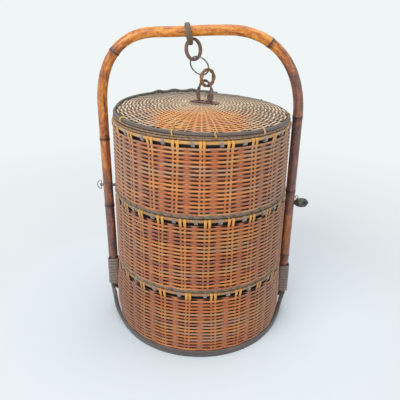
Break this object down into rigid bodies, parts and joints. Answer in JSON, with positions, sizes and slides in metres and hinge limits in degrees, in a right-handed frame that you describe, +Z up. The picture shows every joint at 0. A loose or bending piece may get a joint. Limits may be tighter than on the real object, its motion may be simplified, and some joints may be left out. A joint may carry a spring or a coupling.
{
  "type": "tiered food basket",
  "caption": "Tiered woven bamboo food basket with a woven lid, carried in a bent bamboo arch handle with a tethering chain and side locking pins.",
  "frame": {"origin": "on the floor, on the basket's vertical axis, in the middle of the bottom floor's flat underside", "axes": "+Z up along the basket's axis; +X to the right in the plane of the arch handle; the front looks along -Y"},
  "size_m": [0.3508, 0.2788, 0.4897],
  "materials": {
    "bamboo_pole": "old varnished bamboo, mottled orange with dark knuckles",
    "split_bamboo": "plain split bamboo, satin",
    "dark_cane": "dark aged cane, matt",
    "woven_cane": "fine woven cane, orange-brown, satin",
    "rim_rod": "tan rod bound with pale cane",
    "rattan": "bent rattan, grey-brown",
    "iron_wire": "dark oxidised metal"
  },
  "bodies": {
    "frame": {"handle_pole": "bamboo_pole", "base_strap": "split_bamboo", "back_strap": "split_bamboo", "left_lashing": "dark_cane", "right_lashing": "dark_cane", "base_hoop": "dark_cane", "bottom_wall": "woven_cane", "bottom_floor": "split_bamboo", "bottom_collar": "split_bamboo", "bottom_rim_rod": "rim_rod", "right_eye": "iron_wire"},
    "middle_tier": {"middle_foot_border": "dark_cane", "middle_wall": "woven_cane", "middle_floor": "split_bamboo", "middle_floor_battens": "split_bamboo", "middle_collar": "split_bamboo", "middle_rim_rod": "rim_rod"},
    "top_tier": {"top_foot_border": "dark_cane", "top_wall": "woven_cane", "top_floor": "split_bamboo", "top_floor_battens": "split_bamboo", "top_collar": "split_bamboo", "top_rim_rod": "rim_rod"},
    "lid": {"lid_skirt": "dark_cane", "lid_rim_hoop": "dark_cane", "lid_disc": "woven_cane", "lid_bridge": "split_bamboo"},
    "bar_ring": {"bar_ring": "rattan"},
    "upper_link": {"upper_link": "rattan"},
    "wire_ring": {"wire_ring": "iron_wire"},
    "lid_loop": {"lid_loop": "rattan"},
    "lower_link": {"lower_link": "rattan"},
    "left_pin": {"left_pin": "iron_wire"},
    "left_pull_ring": {"left_pull_ring": "iron_wire"},
    "right_pin": {"right_pin": "iron_wire", "right_knob": "iron_wire"}
  },
  "joints": [
    {"name": "middle_tier_lift", "type": "slide", "parent": "frame", "child": "middle_tier", "axis": [0, 0, 1], "range_m": [0, 0.006]},
    {"name": "top_tier_lift", "type": "slide", "parent": "middle_tier", "child": "top_tier", "axis": [0, 0, 1], "range_m": [0, 0.006]},
    {"name": "lid_lift", "type": "slide", "parent": "top_tier", "child": "lid", "axis": [0, 0, 1], "range_m": [0, 0.007]},
    {"name": "bar_ring_swing", "type": "hinge", "parent": "frame", "child": "bar_ring", "pos_m": [-0.0208, 0, 0.4773], "axis": [1, 0, 0], "range_deg": [-1, 1.5]},
    {"name": "upper_link_swing", "type": "hinge", "parent": "bar_ring", "child": "upper_link", "pos_m": [-0.0174, 0.00045, 0.46294], "axis": [0, 1, 0], "range_deg": [-1.5, 1]},
    {"name": "wire_ring_swing", "type": "hinge", "parent": "upper_link", "child": "wire_ring", "pos_m": [-0.00935, 0.00005, 0.43971], "axis": [1, 0, 0], "range_deg": [-2, 3]},
    {"name": "lid_loop_swing", "type": "hinge", "parent": "frame", "child": "lid_loop", "pos_m": [0.0042, -0.0006, 0.40685], "axis": [0.9455, -0.3256, 0], "range_deg": [-1.5, 1.5]},
    {"name": "lower_link_swing", "type": "hinge", "parent": "lid_loop", "child": "lower_link", "pos_m": [0.006, -0.0003, 0.4028], "axis": [0, 1, 0], "range_deg": [-2, 2]},
    {"name": "left_pin_draw", "type": "slide", "parent": "frame", "child": "left_pin", "axis": [-1, 0, 0], "range_m": [0, 0.012]},
    {"name": "left_pull_ring_swing", "type": "hinge", "parent": "left_pin", "child": "left_pull_ring", "pos_m": [-0.16266, 0, 0.235], "axis": [0, 0, 1], "range_deg": [-60, 60]},
    {"name": "right_pin_draw", "type": "slide", "parent": "frame", "child": "right_pin", "axis": [1, 0, 0], "range_m": [0, 0.012]}
  ]
}
